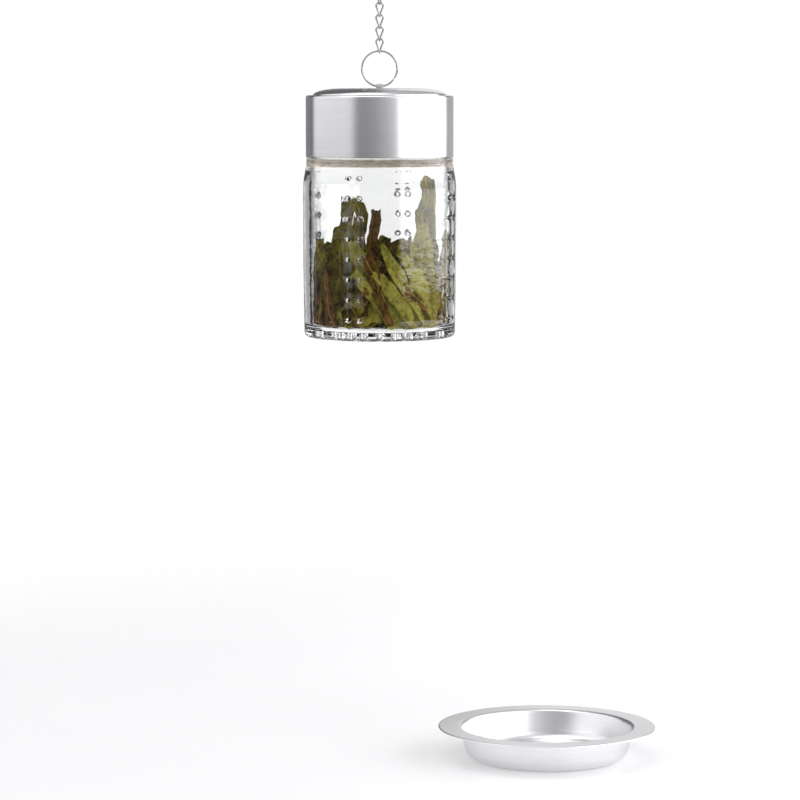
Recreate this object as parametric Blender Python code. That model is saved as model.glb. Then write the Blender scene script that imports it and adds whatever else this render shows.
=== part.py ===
"""Glass tea infuser that hangs by its chain, with its drip tray standing beside it.

A perforated glass cup screws up into a steel lid.  A strap on the lid holds a ring, the ring
holds a chain of twisted links, and the chain ends in a wire hook that goes over a mug's rim.
Run with:  blender --background --python part.py

Frame: metres, +Z up, the front faces -Y.  The origin is the point inside the hook that bears
on the rim, so the infuser hangs straight below it, down the Z axis.
"""

import math

import bmesh
import bpy
from mathutils import Vector

MM = 0.001

# ---- Driving dimensions, in millimetres -----------------------------------------------------
# Heights of the lid and cup are measured from the lid's shoulder, the flat ledge at its top.

SIDES = 44  # flats round a turned piece: four groups of eleven

LID_R = 21.0
LID_SKIRT = 17.6
LID_CORNER_R = 0.6
LID_LEDGE_IN_R = 19.2
PANEL_FLAT_R = 11.0
PANEL_RISE = 1.95
SHEET = 0.5

CUP_R = 21.8
CUP_FOOT_R = 21.5
CUP_BOTTOM_Z = -68.7
GLASS = 2.2
NECK_R = 18.3
NECK_IN_R = 16.3
NECK_TOP_Z = -3.2
CUP_LEDGE_Z = -17.9
CUP_LEDGE_INSET = 1.0
CUP_TAPER_Z = -46.0  # below this the wall narrows towards the foot
CUP_SHOULDER = ((0.0, -25.6), (0.25, -22.4), (0.65, -20.4), (0.95, -19.2))  # inset and height
NECK_FLARE_Z = -15.6  # where the neck's bore starts to widen

THREAD_LEAD = 6.0
THREAD_STARTS = 2
THREAD_FROM_Z = -11.5
THREAD_ARC = math.radians(196.0)
CUP_RIDGE_R = 18.95
COLLAR_RIDGE_R = 18.65
COLLAR_R = 20.2
COLLAR_IN_R = 19.35
COLLAR_TOP_Z = -0.8
COLLAR_WEB = 1.0
COLLAR_BOTTOM_Z = -17.0
RIDGE_FOOT = 1.5
RIDGE_CREST = 0.9
RIDGE_SINK = 0.4

SEAL_IN_R = 16.4
SEAL_R = 18.1
SEAL_T = 0.8
SEAL_CLEAR = 0.3

HOLE_R = 0.5
HOLE_ROWS = 8
HOLE_TOP_Z = -23.05
HOLE_PITCH = 5.68
HOLE_PAIR_HALF = math.radians(4.45)  # half the angle between a pair's two columns
HOLE_GROUPS = 4
GROUP_TURN = math.radians(-19.6)  # the front pair of columns stands this far left of the front
FLOOR_HOLE_R = 0.6
FLOOR_RINGS = ((6.0, 6), (12.0, 12))

RING_WIRE_R = 0.25
RING_R = 5.05
RING_GAP = 0.25
RING_CLEAR = 0.3  # between the ring's wire and the panel
STRAP_W = 2.0
STRAP_T = 0.3
STRAP_PLAY = 0.15
STRAP_FOOT = 2.2

LINKS = 12
LINK_WIRE_R = 0.22
LINK_HALF_L = 1.95
LINK_HALF_W = 1.03
LINK_PLAY = 0.06
LINK_POINTS = 20

HOOK_WIRE_R = 0.45
EYE_R = 1.6
EYE_FROM = 118.0  # degrees round the eye, from its cut end to where it leaves for the shank
EYE_TO = 405.0
SHANK = 3.4
SHANK_BEND_R = 1.6
CROOK_R = 4.6
CROOK_FROM = -70.0
CROOK_TO = 205.0
TIP_R = 1.5

TRAY_R = 30.0
TRAY_H = 9.0
TRAY_WALL_TOP_R = 23.9
TRAY_WALL_FOOT_R = 22.9
TRAY_CORNER_R = 3.2
TRAY_LIP_R = 1.0
TRAY_CENTRE = (46.4, -41.0)
TABLE_BELOW_LID = 182.6

# ---- Places that follow from them, still in millimetres --------------------------------------

RING_PIVOT_Z = PANEL_RISE + RING_CLEAR + RING_WIRE_R
STRAP_IN_R = RING_WIRE_R + STRAP_PLAY
RING_TOP_Z = RING_PIVOT_Z + 2 * RING_R
LINK_PITCH = 2 * LINK_HALF_L - 2 * LINK_WIRE_R - LINK_PLAY
FIRST_LINK_Z = RING_TOP_Z - RING_WIRE_R - LINK_PLAY - LINK_WIRE_R + LINK_HALF_L
CHAIN_TOP_Z = FIRST_LINK_Z + (LINKS - 1) * LINK_PITCH + LINK_HALF_L
EYE_Z = CHAIN_TOP_Z - LINK_WIRE_R - LINK_PLAY - HOOK_WIRE_R + EYE_R
CROOK_Z = EYE_Z + EYE_R + SHANK + CROOK_R
BEARING_Z = CROOK_Z + CROOK_R - HOOK_WIRE_R  # inside the crook: the origin
TABLE_Z = -TABLE_BELOW_LID

THREAD_STEPS = 24
STRAP_ARCH_STEPS = 6
FOOT_CLEAR = 0.1


def metres(x, y, z):
    """A point given in millimetres from the lid's shoulder, in metres from the origin."""
    return Vector((x, y, z - BEARING_Z)) * MM


def arc(centre, radius, start, end, steps):
    """Points of a round stretch in a plane, end points included; angles in degrees."""
    angles = [math.radians(start + (end - start) * i / steps) for i in range(steps + 1)]
    return [(centre[0] + radius * math.cos(a), centre[1] + radius * math.sin(a)) for a in angles]


# ---- Materials --------------------------------------------------------------------------------


def material(name, colour, roughness, metallic=0.0, transmission=0.0):
    """A plain Principled finish."""
    made = bpy.data.materials.new(name)
    made.use_nodes = True
    shader = made.node_tree.nodes["Principled BSDF"]
    shader.inputs["Base Color"].default_value = (*colour, 1.0)
    shader.inputs["Roughness"].default_value = roughness
    shader.inputs["Metallic"].default_value = metallic
    shader.inputs["Transmission Weight"].default_value = transmission
    return made


# ---- Making objects ---------------------------------------------------------------------------


def joint_empty(name, place, parent=None):
    """An empty on a joint's axis.  The pieces that move with the joint are its children."""
    empty = bpy.data.objects.new(name, None)
    empty.empty_display_size = 3 * MM
    empty.location = place
    bpy.context.scene.collection.objects.link(empty)
    if parent:
        attach(empty, parent)
    return empty


def world_place(thing):
    """Where an object stands: nothing is turned or scaled, so its parents' places add up."""
    return thing.location + (world_place(thing.parent) if thing.parent else Vector())


def attach(thing, parent):
    """Makes thing ride on parent and stay where it stands."""
    thing.location -= world_place(parent)
    thing.parent = parent


def add_object(name, data, finish, place, parent=None):
    made = bpy.data.objects.new(name, data)
    made.location = place
    bpy.context.scene.collection.objects.link(made)
    if not data.materials:
        data.materials.append(finish)
    if parent:
        attach(made, parent)
    return made


def finished_mesh(name, bm):
    """Turns a bmesh into a smooth-shaded mesh with outward faces."""
    bmesh.ops.remove_doubles(bm, verts=bm.verts, dist=0.001 * MM)
    bmesh.ops.recalc_face_normals(bm, faces=bm.faces)
    mesh = bpy.data.meshes.new(name)
    bm.to_mesh(mesh)
    bm.free()
    mesh.shade_smooth()
    mesh.set_sharp_from_angle(angle=math.radians(35.0))
    return mesh


def turned_mesh(name, profile, turn=0.0, closed=False, fill=True):
    """Spins a profile of (radius, height) points, in millimetres, round the Z axis.

    An open profile leaves two round holes at its ends, which fill closes with flat faces.
    """
    bm = bmesh.new()
    points = [bm.verts.new((r * math.sin(turn) * MM, -r * math.cos(turn) * MM, z * MM)) for r, z in profile]
    edges = [bm.edges.new(pair) for pair in zip(points, points[1:])]
    if closed:
        edges.append(bm.edges.new((points[-1], points[0])))
    bmesh.ops.spin(
        bm,
        geom=points + edges,
        axis=(0, 0, 1),
        cent=(0, 0, 0),
        angle=math.tau,
        steps=SIDES,
        use_merge=True,
    )
    bmesh.ops.remove_doubles(bm, verts=bm.verts, dist=0.001 * MM)
    if fill and not closed:
        bmesh.ops.holes_fill(bm, edges=[e for e in bm.edges if e.is_boundary])
    return finished_mesh(name, bm)


def lofted_mesh(name, sections):
    """Joins a row of sections with the same number of corners, and closes both ends."""
    bm = bmesh.new()
    rows = [[bm.verts.new(p) for p in section] for section in sections]
    for near, far in zip(rows, rows[1:]):
        for k in range(len(near)):
            after = (k + 1) % len(near)
            bm.faces.new((near[k], near[after], far[after], far[k]))
    bm.faces.new(rows[0])
    bm.faces.new(rows[-1])
    return finished_mesh(name, bm)


def wire_curve(name, points, radius, closed=False, flats=6):
    """A round wire through points in metres, with six or eight flats round it."""
    curve = bpy.data.curves.new(name, "CURVE")
    curve.dimensions = "3D"
    curve.bevel_depth = radius * MM
    curve.bevel_resolution = flats // 2 - 2
    curve.use_fill_caps = True
    spline = curve.splines.new("POLY")
    spline.points.add(len(points) - 1)
    for slot, p in zip(spline.points, points):
        slot.co = (*p, 1.0)
    spline.use_cyclic_u = closed
    return curve


def helper(name, mesh, place, parent=None):
    """A cutter or a joining piece, which isn't part of the object itself."""
    made = add_object(name, mesh, None, place, parent)
    made.hide_render = True
    made.display_type = "WIRE"
    return made


def boolean(target, other, operation):
    step = target.modifiers.new(other.name, "BOOLEAN")
    step.operation = operation
    step.solver = "EXACT"
    step.object = other
    step.use_self = False
    return step


def thicken(target):
    """Gives a sheet its thickness below the spun face, which stays where it is."""
    step = target.modifiers.new("sheet", "SOLIDIFY")
    step.thickness = SHEET * MM
    step.offset = -1.0
    step.use_even_offset = True
    return step


# ---- Thread -----------------------------------------------------------------------------------


def thread_ridges(name, foot_r, crest_r, height_shift):
    """All the starts of one thread as separate helical ridges in one mesh.

    The foot lies inside the wall that carries the ridge, and the crest stands off it.
    """
    bm = bmesh.new()
    for start in range(THREAD_STARTS):
        first = math.tau * start / THREAD_STARTS
        rows = []
        for i in range(THREAD_STEPS + 1):
            angle = first + THREAD_ARC * i / THREAD_STEPS
            middle = THREAD_FROM_Z + height_shift + THREAD_LEAD * THREAD_ARC * i / THREAD_STEPS / math.tau
            corners = (
                (foot_r, middle - RIDGE_FOOT / 2),
                (crest_r, middle - RIDGE_CREST / 2),
                (crest_r, middle + RIDGE_CREST / 2),
                (foot_r, middle + RIDGE_FOOT / 2),
            )
            places = [Vector((r * math.cos(angle), r * math.sin(angle), z)) * MM for r, z in corners]
            rows.append([bm.verts.new(place) for place in places])
        for near, far in zip(rows, rows[1:]):
            for k in range(4):
                bm.faces.new((near[k], near[(k + 1) % 4], far[(k + 1) % 4], far[k]))
        bm.faces.new(rows[0])
        bm.faces.new(rows[-1])
    return finished_mesh(name, bm)


# ---- Glass cup ----------------------------------------------------------------------------------


def cup_profile():
    """From the middle of the underside, out, up to the rim, and down inside to the floor."""
    floor = CUP_BOTTOM_Z + GLASS
    in_r = CUP_R - GLASS
    outside = [
        (CUP_FOOT_R - 1.4, CUP_BOTTOM_Z),
        (CUP_FOOT_R - 0.4, CUP_BOTTOM_Z + 0.4),
        (CUP_FOOT_R, CUP_BOTTOM_Z + 1.5),
        (CUP_R, CUP_TAPER_Z),
        *((CUP_R - inset, height) for inset, height in CUP_SHOULDER),
        (CUP_R - CUP_LEDGE_INSET, CUP_LEDGE_Z - 0.4),
        (CUP_R - CUP_LEDGE_INSET - 0.4, CUP_LEDGE_Z),
        (NECK_R + 0.5, CUP_LEDGE_Z),
        (NECK_R, CUP_LEDGE_Z + 0.5),
        (NECK_R, NECK_TOP_Z - 0.5),
        (NECK_R - 0.5, NECK_TOP_Z),
    ]
    inside = [
        (NECK_IN_R + 0.5, NECK_TOP_Z),
        (NECK_IN_R, NECK_TOP_Z - 0.5),
        (NECK_IN_R, NECK_FLARE_Z),
        (NECK_IN_R + 0.6, NECK_FLARE_Z - 2.0),
        (in_r - 1.2, NECK_FLARE_Z - 4.4),
        (in_r - 0.2, NECK_FLARE_Z - 6.4),
        (in_r, NECK_FLARE_Z - 6.8),
        (CUP_FOOT_R - GLASS, floor + 2.0),
        (CUP_FOOT_R - GLASS - 0.6, floor + 0.6),
        (CUP_FOOT_R - GLASS - 2.0, floor),
    ]
    return outside + inside


def hole_cutters():
    """One mesh of eight-sided pins: columns of holes in the wall, rings of holes in the floor."""
    bm = bmesh.new()

    def pin(radius, length, place, direction):
        made = bmesh.ops.create_cone(
            bm,
            cap_ends=True,
            segments=8,
            radius1=radius * MM,
            radius2=radius * MM,
            depth=length * MM,
        )
        turn = direction.to_track_quat("Z", "X").to_matrix().to_4x4()
        bmesh.ops.transform(bm, matrix=turn, verts=made["verts"])
        bmesh.ops.translate(bm, vec=Vector(place) * MM, verts=made["verts"])

    wall_r = CUP_R - GLASS / 2
    for group in range(HOLE_GROUPS):
        for side in (-1, 1):
            angle = GROUP_TURN + math.tau * group / HOLE_GROUPS + side * HOLE_PAIR_HALF
            outward = Vector((math.sin(angle), -math.cos(angle), 0.0))
            for row in range(HOLE_ROWS):
                z = HOLE_TOP_Z - HOLE_PITCH * row
                pin(HOLE_R, 2.5 * GLASS, outward * wall_r + Vector((0, 0, z)), outward)
    floor_middle = CUP_BOTTOM_Z + GLASS / 2
    down = Vector((0, 0, 1))
    pin(FLOOR_HOLE_R, 2.5 * GLASS, (0, 0, floor_middle), down)
    for radius, count in FLOOR_RINGS:
        for k in range(count):
            angle = math.tau * k / count
            spot = (radius * math.cos(angle), radius * math.sin(angle), floor_middle)
            pin(FLOOR_HOLE_R, 2.5 * GLASS, spot, down)
    mesh = bpy.data.meshes.new("hole_cutters")
    bm.to_mesh(mesh)
    bm.free()
    return mesh


def make_cup(glass, cup_empty):
    place = metres(0, 0, 0)
    blank = turned_mesh("glass_cup", cup_profile(), GROUP_TURN)
    cup = add_object("glass_cup", blank, glass, place, cup_empty)
    ridges = thread_ridges("cup_ridges", NECK_R - RIDGE_SINK, CUP_RIDGE_R, 0.0)
    boolean(cup, helper("cup_ridges", ridges, place, cup_empty), "UNION")
    boolean(cup, helper("hole_cutters", hole_cutters(), place, cup_empty), "DIFFERENCE")
    return cup


# ---- Lid ----------------------------------------------------------------------------------------


def lid_profile():
    """The steel sheet's outer face: flat panel, its rounded side, the ledge, corner and skirt."""
    reach = LID_LEDGE_IN_R - PANEL_FLAT_R
    side = [
        (PANEL_FLAT_R + reach * math.sin(a), PANEL_RISE * math.cos(a))
        for a in (math.radians(90.0 * i / 5) for i in range(6))
    ]
    corner = arc((LID_R - LID_CORNER_R, -LID_CORNER_R), LID_CORNER_R, 90.0, 0.0, 2)
    return side + corner + [(LID_R, -LID_SKIRT)]


def make_lid(steel, plastic, lid_empty):
    shoulder = metres(0, 0, 0)
    sheet = turned_mesh("lid_shell", lid_profile(), fill=False)
    close_flat(sheet)
    shell = add_object("lid_shell", sheet, steel, shoulder, lid_empty)
    thicken(shell)
    slot_y = 2 * (STRAP_IN_R + STRAP_T + FOOT_CLEAR)
    slot = box_mesh("strap_slot", STRAP_W + 2 * FOOT_CLEAR, slot_y, 3.0)
    boolean(shell, helper("strap_slot", slot, metres(0, 0, PANEL_RISE), lid_empty), "DIFFERENCE")

    collar_profile = [
        (COLLAR_IN_R, COLLAR_TOP_Z - COLLAR_WEB),
        (COLLAR_IN_R, COLLAR_BOTTOM_Z),
        (COLLAR_R, COLLAR_BOTTOM_Z),
        (COLLAR_R, COLLAR_TOP_Z - 0.5),
        (COLLAR_R - 0.5, COLLAR_TOP_Z),
    ]
    collar = add_object(
        "threaded_collar", turned_mesh("threaded_collar", collar_profile), plastic, shoulder, lid_empty
    )
    between = -THREAD_LEAD / THREAD_STARTS / 2
    ridges = thread_ridges("collar_ridges", COLLAR_IN_R + RIDGE_SINK, COLLAR_RIDGE_R, between)
    boolean(collar, helper("collar_ridges", ridges, shoulder, lid_empty), "UNION")

    add_object("ring_strap", strap_mesh(), steel, metres(0, 0, RING_PIVOT_Z), lid_empty)


def close_flat(mesh):
    """Fills the narrower round hole of a spun sheet with a flat face, and turns faces upwards."""
    bm = bmesh.new()
    bm.from_mesh(mesh)
    loose = [e for e in bm.edges if e.is_boundary]
    narrow = min(e.verts[0].co.xy.length for e in loose)
    rim = [e for e in loose if e.verts[0].co.xy.length < narrow + MM]
    flat = bmesh.ops.edgeloop_fill(bm, edges=rim)["faces"][0]
    bmesh.ops.recalc_face_normals(bm, faces=bm.faces)
    if flat.normal.z < 0:
        bmesh.ops.reverse_faces(bm, faces=bm.faces)
    bm.to_mesh(mesh)
    bm.free()


def box_mesh(name, x, y, z):
    bm = bmesh.new()
    bmesh.ops.create_cube(bm, size=1.0)
    bmesh.ops.scale(bm, vec=Vector((x, y, z)) * MM, verts=bm.verts)
    return finished_mesh(name, bm)


def strap_mesh():
    """A steel strip bent over the ring's wire, its legs through the lid and its feet turned out.

    Local origin: the middle of the arch, where the ring's wire runs along X.
    """
    under_lid = PANEL_RISE - SHEET - FOOT_CLEAR - STRAP_T - RING_PIVOT_Z
    outer = STRAP_IN_R + STRAP_T
    inner_line = [(-outer - STRAP_FOOT, under_lid), (-STRAP_IN_R, under_lid)]
    outer_line = [(-outer - STRAP_FOOT, under_lid + STRAP_T), (-outer, under_lid + STRAP_T)]
    inner_line += arc((0, 0), STRAP_IN_R, 180.0, 0.0, STRAP_ARCH_STEPS)
    outer_line += arc((0, 0), outer, 180.0, 0.0, STRAP_ARCH_STEPS)
    inner_line += [(STRAP_IN_R, under_lid), (outer + STRAP_FOOT, under_lid)]
    outer_line += [(outer, under_lid + STRAP_T), (outer + STRAP_FOOT, under_lid + STRAP_T)]
    half = STRAP_W / 2
    sections = []
    for (iy, iz), (oy, oz) in zip(inner_line, outer_line):
        corners = ((-half, iy, iz), (half, iy, iz), (half, oy, oz), (-half, oy, oz))
        sections.append([Vector(corner) * MM for corner in corners])
    return lofted_mesh("ring_strap", sections)


def make_seal(silicone, seal_empty):
    top = COLLAR_TOP_Z - COLLAR_WEB - SEAL_CLEAR
    profile = [(SEAL_IN_R, top), (SEAL_IN_R, top - SEAL_T), (SEAL_R, top - SEAL_T), (SEAL_R, top)]
    mesh = turned_mesh("lid_seal", profile, closed=True)
    add_object("lid_seal", mesh, silicone, metres(0, 0, 0), seal_empty)


# ---- Ring, chain and hook -----------------------------------------------------------------------


def ring_points():
    """A jump ring in the XZ plane, its cut at the lower right; local origin at its pivot."""
    cut = math.radians(-35.0)
    half_gap = RING_GAP / RING_R / 2
    span = math.tau - 2 * half_gap
    angles = [cut + half_gap + span * i / 31 for i in range(32)]
    return [Vector((RING_R * math.cos(a), 0.0, RING_R + RING_R * math.sin(a))) * MM for a in angles]


def link_points():
    """The centre line of one link: an oval whose foot is turned a quarter from its head.

    At the head the oval lies in the XZ plane and at the foot in the YZ plane, so that each
    foot crosses the head below it squarely.
    """
    points = []
    straight = LINK_HALF_L - LINK_HALF_W
    quarter = LINK_POINTS // 4
    for i in range(LINK_POINTS):
        corner, step = divmod(i, quarter)
        angle = math.pi / 2 * (corner + (step + 0.5) / quarter)
        across = LINK_HALF_W * math.cos(angle)
        along = LINK_HALF_W * math.sin(angle) + math.copysign(straight, math.sin(angle))
        share = 0.5 - along / LINK_HALF_L / 2  # 0 at the head, 1 at the foot
        twist = math.pi / 2 * share * share * (3 - 2 * share)
        points.append(Vector((across * math.cos(twist), across * math.sin(twist), along)) * MM)
    return points


def hook_points():
    """A question mark in the YZ plane: the eye from its cut end, the shank, crook and tip."""
    eye = arc((0.0, EYE_Z), EYE_R, EYE_FROM, EYE_TO, 18)
    bend_z = EYE_Z + EYE_R * math.sqrt(2.0) + SHANK_BEND_R * (math.sqrt(2.0) - 1.0)
    bend = arc((SHANK_BEND_R, bend_z), SHANK_BEND_R, EYE_TO - 180.0, 180.0, 3)

    lean = math.radians(-CROOK_FROM)
    sway_r = CROOK_R * math.cos(lean) / (1.0 - math.cos(lean))
    sway_z = CROOK_Z - (CROOK_R + sway_r) * math.sin(lean)
    sway = arc((sway_r, sway_z), sway_r, 180.0, 180.0 + CROOK_FROM, 5)

    crook = arc((0.0, CROOK_Z), CROOK_R, CROOK_FROM, CROOK_TO, 20)[1:]
    out = math.radians(CROOK_TO)
    tip_centre = ((CROOK_R + TIP_R) * math.cos(out), CROOK_Z + (CROOK_R + TIP_R) * math.sin(out))
    tip = arc(tip_centre, TIP_R, CROOK_TO - 180.0, CROOK_TO - 240.0, 4)[1:]
    return [metres(0.0, y, z) for y, z in eye + bend + sway + crook + tip]


def make_chain(steel, hook):
    """Twelve links that share one mesh, each hung from the piece above it.

    They hinge by turns on the upper piece's foot, along Y, and on the link's own head, along X,
    so that the chain bends every way.  Returns the lowest link's empty.
    """
    wire = wire_curve("chain_link", link_points(), LINK_WIRE_R, closed=True)
    above = hook
    for number in range(LINKS, 0, -1):
        middle = FIRST_LINK_Z + (number - 1) * LINK_PITCH
        head = middle + LINK_HALF_L
        on_own_head = number % 2 == 1
        pivot = head if on_own_head else head - 2 * LINK_WIRE_R - LINK_PLAY
        empty = joint_empty(f"chain_joint_{number:02d}", metres(0, 0, pivot), above)
        add_object(f"chain_link_{number:02d}", wire, steel, metres(0, 0, middle), empty)
        above = empty
    return above


# ---- Drip tray ----------------------------------------------------------------------------------


def tray_profile():
    """The upper face of the pressed sheet: floor edge, corner, wall, lip and flange."""
    inner_foot = TRAY_WALL_FOOT_R - SHEET
    inner_top = TRAY_WALL_TOP_R - SHEET
    corner = arc((inner_foot - TRAY_CORNER_R, SHEET + TRAY_CORNER_R), TRAY_CORNER_R, -90.0, -5.0, 4)
    lip = arc((inner_top + TRAY_LIP_R, TRAY_H - TRAY_LIP_R), TRAY_LIP_R, 175.0, 90.0, 3)
    return corner + lip + [(TRAY_R, TRAY_H)]


def make_tray(steel, tray_empty):
    mesh = turned_mesh("drip_tray", tray_profile(), fill=False)
    close_flat(mesh)
    tray = add_object("drip_tray", mesh, steel, metres(*TRAY_CENTRE, TABLE_Z), tray_empty)
    thicken(tray)


# ---- Assembly -----------------------------------------------------------------------------------


def build():
    for old in list(bpy.data.objects):
        bpy.data.objects.remove(old)
    steel = material("brushed_steel", (0.72, 0.72, 0.73), 0.3, metallic=1.0)
    wire = material("steel_wire", (0.62, 0.62, 0.63), 0.25, metallic=1.0)
    glass = material("glass", (0.95, 0.97, 0.96), 0.02, transmission=1.0)
    plastic = material("collar_plastic", (0.86, 0.85, 0.80), 0.45)
    silicone = material("silicone", (0.82, 0.81, 0.77), 0.6)

    hook_empty = joint_empty("hook_hold", metres(0, 0, BEARING_Z))
    hook_wire = wire_curve("rim_hook", hook_points(), HOOK_WIRE_R, flats=8)
    add_object("rim_hook", hook_wire, wire, Vector(), hook_empty)

    lowest_link = make_chain(wire, hook_empty)
    lowest_foot_z = FIRST_LINK_Z - LINK_HALF_L
    ring_empty = joint_empty("ring_joint", metres(0, 0, lowest_foot_z), lowest_link)
    ring_wire = wire_curve("lid_ring", ring_points(), RING_WIRE_R)
    add_object("lid_ring", ring_wire, wire, metres(0, 0, RING_PIVOT_Z), ring_empty)

    lid_empty = joint_empty("lid_joint", metres(0, 0, RING_PIVOT_Z), ring_empty)
    make_lid(steel, plastic, lid_empty)
    seal_empty = joint_empty("seal_joint", metres(0, 0, 0), lid_empty)
    make_seal(silicone, seal_empty)
    cup_empty = joint_empty("cup_joint", metres(0, 0, 0), seal_empty)
    make_cup(glass, cup_empty)

    tray_empty = joint_empty("tray_joint", metres(*TRAY_CENTRE, TABLE_Z), hook_empty)
    make_tray(steel, tray_empty)


build()
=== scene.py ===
# %% [markdown]
# # A glass tea infuser on its chain, with its drip tray
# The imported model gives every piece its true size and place.  This lesson keeps those places and
# gives each piece the shape and finish that the eye expects: round wire, brushed steel, drilled
# glass and wet leaves.

# %% Load the frame
import math
import random

import bpy
from mathutils import Matrix, Vector, noise


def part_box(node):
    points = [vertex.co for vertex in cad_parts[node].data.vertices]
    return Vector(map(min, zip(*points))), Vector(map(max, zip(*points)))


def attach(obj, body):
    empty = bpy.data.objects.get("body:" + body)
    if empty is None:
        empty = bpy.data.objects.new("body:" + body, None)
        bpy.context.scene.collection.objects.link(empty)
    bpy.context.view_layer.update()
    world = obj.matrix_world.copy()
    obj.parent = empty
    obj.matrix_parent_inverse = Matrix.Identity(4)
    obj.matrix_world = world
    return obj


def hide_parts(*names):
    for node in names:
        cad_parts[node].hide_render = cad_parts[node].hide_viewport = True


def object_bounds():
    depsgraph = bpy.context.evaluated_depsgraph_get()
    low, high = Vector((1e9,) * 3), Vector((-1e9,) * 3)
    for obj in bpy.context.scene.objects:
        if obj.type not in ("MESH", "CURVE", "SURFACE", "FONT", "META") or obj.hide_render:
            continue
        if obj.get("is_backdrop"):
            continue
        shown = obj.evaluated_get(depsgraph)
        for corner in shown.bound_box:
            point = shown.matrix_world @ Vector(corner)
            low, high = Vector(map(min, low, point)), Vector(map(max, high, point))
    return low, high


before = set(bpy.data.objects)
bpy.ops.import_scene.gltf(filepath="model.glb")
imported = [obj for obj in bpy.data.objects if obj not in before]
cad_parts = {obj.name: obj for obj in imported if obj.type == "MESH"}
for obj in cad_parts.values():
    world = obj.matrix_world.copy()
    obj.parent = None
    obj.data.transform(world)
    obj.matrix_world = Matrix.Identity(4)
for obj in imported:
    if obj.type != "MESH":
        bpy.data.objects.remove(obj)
cad_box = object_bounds()
MM = 0.001

# %% [markdown]
# ## Sizes
# Most places are read from the frame's own boxes.  A number that stands here is the size of one
# piece's detail.

# %% Places and sizes
lid_low, lid_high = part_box("lid_shell")
cup_low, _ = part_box("glass_cup")
tray_low, tray_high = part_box("drip_tray")
ring_low, ring_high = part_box("lid_ring")

LID_R = (lid_high.x - lid_low.x) / 2
PANEL_RISE = 1.95 * MM
SHOULDER = lid_high.z - PANEL_RISE  # the flat ledge round the lid's panel
SHEET = 0.5 * MM
CUP_R = 21.8 * MM
FLOOR_BELOW = 66.5  # millimetres from the shoulder down to the cup's floor
TRAY_X, TRAY_Y = (tray_low.x + tray_high.x) / 2, (tray_low.y + tray_high.y) / 2
TABLE = tray_low.z
print("lid radius", round(LID_R / MM, 2), "mm; shoulder at", round(SHOULDER / MM, 2), "mm")

# %% [markdown]
# ## Camera
# The lens is long, as for a product picture, so the cup's sides stay upright.  It stands a little
# above the lid and looks slightly down.

# %% Camera
LENS = 149.6
TILT = math.radians(5.5)
DISTANCE = 0.949
EYE_ABOVE_PANEL = 2.4 * MM
EYE_RIGHT = 5.8 * MM

bpy.ops.object.select_all(action="DESELECT")
bpy.ops.object.camera_add(
    location=(EYE_RIGHT, -DISTANCE, lid_high.z + EYE_ABOVE_PANEL),
    rotation=(math.pi / 2 - TILT, 0, 0),
)
camera = bpy.context.object
camera.data.lens = LENS
camera.data.sensor_width = 36.0
camera.data.clip_start = 0.01
bpy.context.scene.camera = camera
print("camera at", [round(v, 3) for v in camera.location])

# %% [markdown]
# ## Modelling helpers
# A turned piece starts as a circle.  Its edge is extruded and resized from station to station,
# which is how a lathe's profile is followed by hand.  Both ends are small circles on the axis, so
# filling them closes it, and the normals are made consistent while the shell is whole.  A long
# straight run gets a ring near each of its ends.  Without them, smooth shading would tilt the
# reflections all along it.


# %% Helpers for starting and finishing a piece
def deselect():
    """Leaves edit mode and selects nothing."""
    if bpy.context.object and bpy.context.object.mode != "OBJECT":
        bpy.ops.object.mode_set(mode="OBJECT")
    bpy.ops.object.select_all(action="DESELECT")


def pick(piece):
    """Makes piece the only one selected."""
    deselect()
    piece.select_set(True)
    bpy.context.view_layer.objects.active = piece


def settle(piece, name, smooth=40.0):
    """Names a piece, puts its place in its mesh and shades it smooth up to an angle."""
    pick(piece)
    piece.name = name
    bpy.ops.object.transform_apply(location=True, rotation=True, scale=True)
    bpy.ops.object.shade_smooth_by_angle(angle=math.radians(smooth))
    return piece


def apply_modifiers(piece):
    """Applies what stands in the piece's modifier stack, from the top."""
    pick(piece)
    for step in list(piece.modifiers):
        bpy.ops.object.modifier_apply(modifier=step.name)


def arc(centre, radius, start, end, steps):
    """Points of a round stretch of a profile; angles in degrees, end points included."""
    angles = [math.radians(start + (end - start) * i / steps) for i in range(steps + 1)]
    return [(centre[0] + radius * math.cos(a), centre[1] + radius * math.sin(a)) for a in angles]


# %% Helper for turned pieces
SUPPORT_FROM = 1.5 * MM
SUPPORT_AT = 0.2 * MM


def supported(profile):
    """Adds a ring near both ends of each long run, so that smooth shading stays flat along it."""
    points = [profile[0]]
    for start, end in zip(profile, profile[1:]):
        run = math.dist(start, end)
        if run > SUPPORT_FROM:
            for share in (SUPPORT_AT / run, 1.0 - SUPPORT_AT / run):
                points.append(tuple(a + (b - a) * share for a, b in zip(start, end)))
        points.append(end)
    return points


def turned(name, profile, sides, x=0.0, y=0.0):
    """Follows a profile of (radius, height) in metres round an upright axis, and closes both ends."""
    profile = supported(profile)
    deselect()
    radius, height = profile[0]
    bpy.ops.mesh.primitive_circle_add(vertices=sides, radius=radius, location=(x, y, height))
    made = bpy.context.object
    bpy.ops.object.mode_set(mode="EDIT")
    bpy.ops.mesh.select_all(action="SELECT")
    for next_radius, next_height in profile[1:]:
        rise = (0.0, 0.0, next_height - height)
        bpy.ops.mesh.extrude_region_move(TRANSFORM_OT_translate={"value": rise})
        grow = next_radius / radius
        bpy.ops.transform.resize(value=(grow, grow, 1.0), center_override=(x, y, next_height))
        radius, height = next_radius, next_height
    bpy.ops.mesh.select_all(action="SELECT")
    bpy.ops.mesh.fill_holes(sides=0)
    bpy.ops.mesh.select_all(action="SELECT")
    bpy.ops.mesh.normals_make_consistent(inside=False)
    bpy.ops.object.mode_set(mode="OBJECT")
    settle(made, name)
    print(name, "faces:", len(made.data.polygons))
    return made


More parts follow.
